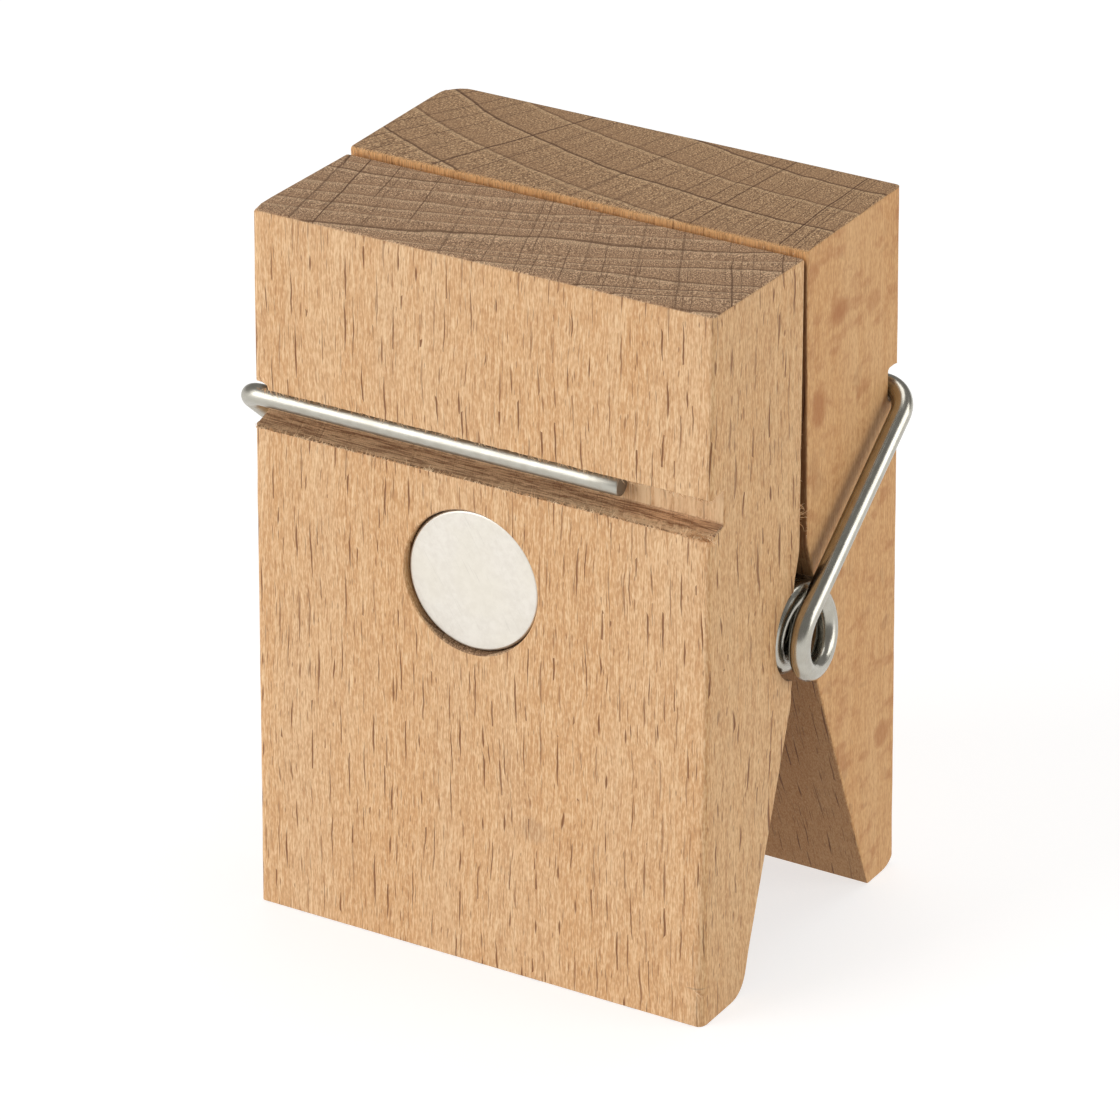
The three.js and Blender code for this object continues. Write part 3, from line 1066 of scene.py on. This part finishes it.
def front_tufts(jaw):
    """Along the lips, at the groove's two ends, at the right edge and at the cracked foot."""
    low, high = jaw.lips
    end = jaw.half - 1.0
    tufts = lip_tufts(jaw, 560, 0.9, 5)
    tufts += [
        ((8.9, low[0], low[1]), (0.6, -0.3, 0.9), 4, 0.3, 0.9, (0.1, 0.02, 0.05)),
        ((14.0, low[0], low[1]), (0.7, -0.3, 0.9), 9, 0.7, 1.0, (0.2, 0.02, 0.05)),
        ((end - 0.3, low[0] + 0.15, low[1] + 0.1), (0.2, -0.7, 0.4), 200, 1.8, 0.9, (0.2, 0.3, 0.25)),
        ((end, high[0] + 0.2, high[1]), (0.6, -0.6, -0.4), 24, 0.8, 0.8, (0.2, 0.2, 0.2)),
        ((1.6 - jaw.half, high[0] + 0.1, high[1]), (-0.3, -0.3, -0.9), 10, 0.4, 0.6, (0.1, 0.1, 0.1)),
        ((jaw.half - 0.1, -1.1, 49.0), (0.9, 0.2, 0.6), 14, 0.05, 1.3, (0.05, 0.15, 1.2)),
        ((jaw.half - 0.1, -0.9, 57.5), (0.7, 0.5, 0.2), 6, 0.05, 0.5, (0.05, 0.1, 6.0)),
    ]
    for k in range(9):
        share = k / 8
        x, z = 24.9 + 1.35 * share, 4.5 - 0.8 * share + 0.12 * math.sin(5 * share)
        tufts.append(((x - 0.15, jaw.face(z) + 0.06 + 0.9 * max(0, share - 0.7), z),
                      (1.0, -0.12, -0.5), 4, 0.05, 0.36, (0.05, 0.02, 0.03)))
    return tufts


def back_tufts(jaw):
    """Along the lips, at the groove's right end, at the coil's bed and all along the tip."""
    low, end = jaw.lips[0], jaw.half
    tufts = lip_tufts(jaw, 120, 0.8, 9)
    tufts += [((end - 0.3, low[0] - 0.3, low[1]), (0.5, 0.6, 0.6), 16, 0.3, 0.7, (0.2, 0.3, 0.2)),
              ((end - 0.1, 0.6, 47.5), (0.6, -0.6, 0.4), 8, 0.05, 0.8, (0.05, 0.1, 1.5))]
    tip = max((p for p in jaw.outline if p[1] > jaw.top[1] - 0.6), key=jaw.depth)
    tufts.append(((0, tip[0] + 0.04, tip[1] - 0.1), (0.1, -0.5, -0.6), 260, end - 0.6, 0.34,
                  (0.1, 0.02, 0.1)))
    return tufts


def build_front():
    jaw = Jaw("front_jaw")
    thing = jaw_mesh("front_jaw_wood", jaw, FRONT_BOARD["seed"])
    cut_pocket(thing, jaw)
    smooth(thing)
    marks = [((6.6, jaw.face(17.2), 17.2), (1.6, 3.0, 1.5), 0.22),
             ((25.4, jaw.face(4.3), 4.3), (0.9, 3.0, 0.1), 0.45)]
    wood = beech("beech_front", FRONT_BOARD, FRONT_TONES, jaw, marks)
    dress(thing, wood, FRONT_BODY, "beech_front", "front_jaw")
    hairs = fibres("front_jaw_fibres", front_tufts(jaw), 21)
    dress(hairs, fibre_material(), FRONT_BODY, "beech_front")
    build_magnet(jaw)


def build_magnet(jaw):
    """The disc and the glue that holds it in the front jaw."""
    disc = magnet_mesh(jaw)
    smooth(disc, 50)
    dress(disc, nickel("magnet_nickel"), FRONT_BODY, "magnet_nickel", "disc_magnet")
    glue = glue_mesh(jaw)
    smooth(glue, 50)
    dress(glue, resin("glue"), FRONT_BODY, "glue", "magnet_glue")


def build_back():
    jaw = Jaw("back_jaw")
    thing = jaw_mesh("back_jaw_wood", jaw, BACK_BOARD["seed"])
    smooth(thing)
    side = jaw.half
    stains = [
        ((side, 6.7, 68.0), (3.0, 2.4, 1.5), 0.7), ((side, 2.6, 59.2), (3.0, 1.6, 2.2), 0.7),
        ((side, 17.0, 16.5), (3.0, 1.8, 1.5), 0.6), ((side, 13.5, 66.5), (3.0, 1.5, 1.2), 0.4),
    ]
    wood = beech("beech_back", BACK_BOARD, BACK_TONES, jaw, stains)
    dress(thing, wood, BACK_BODY, "beech_back", "back_jaw")
    hairs = fibres("back_jaw_fibres", back_tufts(jaw), 33)
    dress(hairs, fibre_material(), BACK_BODY, "beech_back")


def fibre_material():
    """Torn fibres, paler than the wood; one material for both jaws."""
    made = bpy.data.materials.get("torn_fibre")
    if made:
        return made
    n = Nodes("torn_fibre")
    x, y, z = n.place()
    vary = n.noise(n.stretched((x, y, z), (1.0, 1.0, 1.0)))
    tone = n.mix(n.step(vary, 0.35, 0.65), colour(206, 160, 112), colour(238, 208, 168))
    return n.finish({"Base Color": tone, "Roughness": 0.7})


def build_spring():
    front = seat_of("spring_front_arm", -1)
    back = seat_of("spring_back_arm", 1)
    wire = steel("spring_wire")
    for name, seat, body, node in (
            ("front_arm_wire", front, FRONT_BODY, "spring_front_arm"),
            ("back_arm_wire", back, BACK_BODY, "spring_back_arm")):
        arm = arm_mesh(name, seat)
        smooth(arm, 50, even=False)
        dress(arm, wire, body, "spring_wire", node)
    coil = coil_mesh("coil_wire", front, back)
    smooth(coil, 50, even=False)
    dress(coil, wire, None, "spring_wire", "spring_coil")
    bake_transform(coil)


# ---------- stage

def build_stage():
    """A pale floor that glows a little, as a lit white table does."""
    half, sunk = 6.0, -0.02
    corners = ((-1, -1), (1, -1), (1, 1), (-1, 1))
    spots = [(sx * half / MM, sy * half / MM, sunk) for sx, sy in corners]
    floor = new_object("floor", spots, [(0, 1, 2, 3)])
    n = Nodes("floor_white")
    floor.data.materials.append(n.finish({
        "Base Color": (0.5, 0.5, 0.5, 1.0), "Roughness": 0.9, "Specular IOR Level": 0.1,
        "Emission Color": (1.0, 1.0, 1.0, 1.0), "Emission Strength": 0.68}))


def direction(azimuth, elevation):
    """Towards a place round the object: azimuth 0 is the front, 90 the right."""
    a, e = math.radians(azimuth), math.radians(elevation)
    return Vector((math.sin(a) * math.cos(e), -math.cos(a) * math.cos(e), math.sin(e)))


def softbox(name, azimuth, elevation, distance, width, height, power):
    """A rectangular light that faces the hinge: lengths in metres, power in watts."""
    light = bpy.data.lights.new(name, "AREA")
    light.shape, light.size, light.size_y, light.energy = "RECTANGLE", width, height, power
    lamp = bpy.data.objects.new(name, light)
    bpy.context.scene.collection.objects.link(lamp)
    back = direction(azimuth, elevation)
    target = PIVOT * MM
    lamp.location = target + back * distance
    lamp.rotation_mode = "QUATERNION"
    lamp.rotation_quaternion = (-back).to_track_quat("-Z", "Y")


def build_lights():
    softbox("key", azimuth=-38, elevation=20, distance=1.2, width=0.8, height=0.8, power=8.4)
    softbox("side", azimuth=112, elevation=14, distance=1.1, width=0.6, height=0.7, power=3.7)
    softbox("top", azimuth=190, elevation=76, distance=1.2, width=0.8, height=0.8, power=4.2)
    world = bpy.data.worlds.new("studio")
    world.use_nodes = True
    background = world.node_tree.nodes["Background"]
    background.inputs[0].default_value = (1.0, 0.985, 0.96, 1.0)
    background.inputs[1].default_value = 0.27
    bpy.context.scene.world = world
    bpy.context.scene.view_settings.view_transform = "Standard"
    bpy.context.scene.view_settings.look = "None"


def build_camera():
    """Looks down on the front right corner through a long lens, from close to eye height."""
    azimuth, elevation, roll, distance = 31.088, 26.294, -0.406, 0.674926
    side_step, rise = -0.001592, 0.001024
    focal, sensor = 213.94, 36.0
    back = direction(azimuth, elevation)
    level = (-back).cross(Vector((0, 0, 1))).normalized()
    upright = level.cross(-back)
    tilt = math.radians(roll)
    right = level * math.cos(tilt) + upright * math.sin(tilt)
    up = upright * math.cos(tilt) - level * math.sin(tilt)
    data = bpy.data.cameras.new("camera")
    data.lens, data.sensor_width, data.clip_start, data.clip_end = focal, sensor, 0.01, 50.0
    camera = bpy.data.objects.new("camera", data)
    bpy.context.scene.collection.objects.link(camera)
    turn = Matrix((right, up, back)).transposed().to_4x4()
    spot = PIVOT * MM + back * distance + level * side_step + upright * rise
    camera.matrix_world = Matrix.Translation(spot) @ turn
    bpy.context.scene.camera = camera


build_camera()
build_stage()
build_lights()
build_front()
build_back()
build_spring()
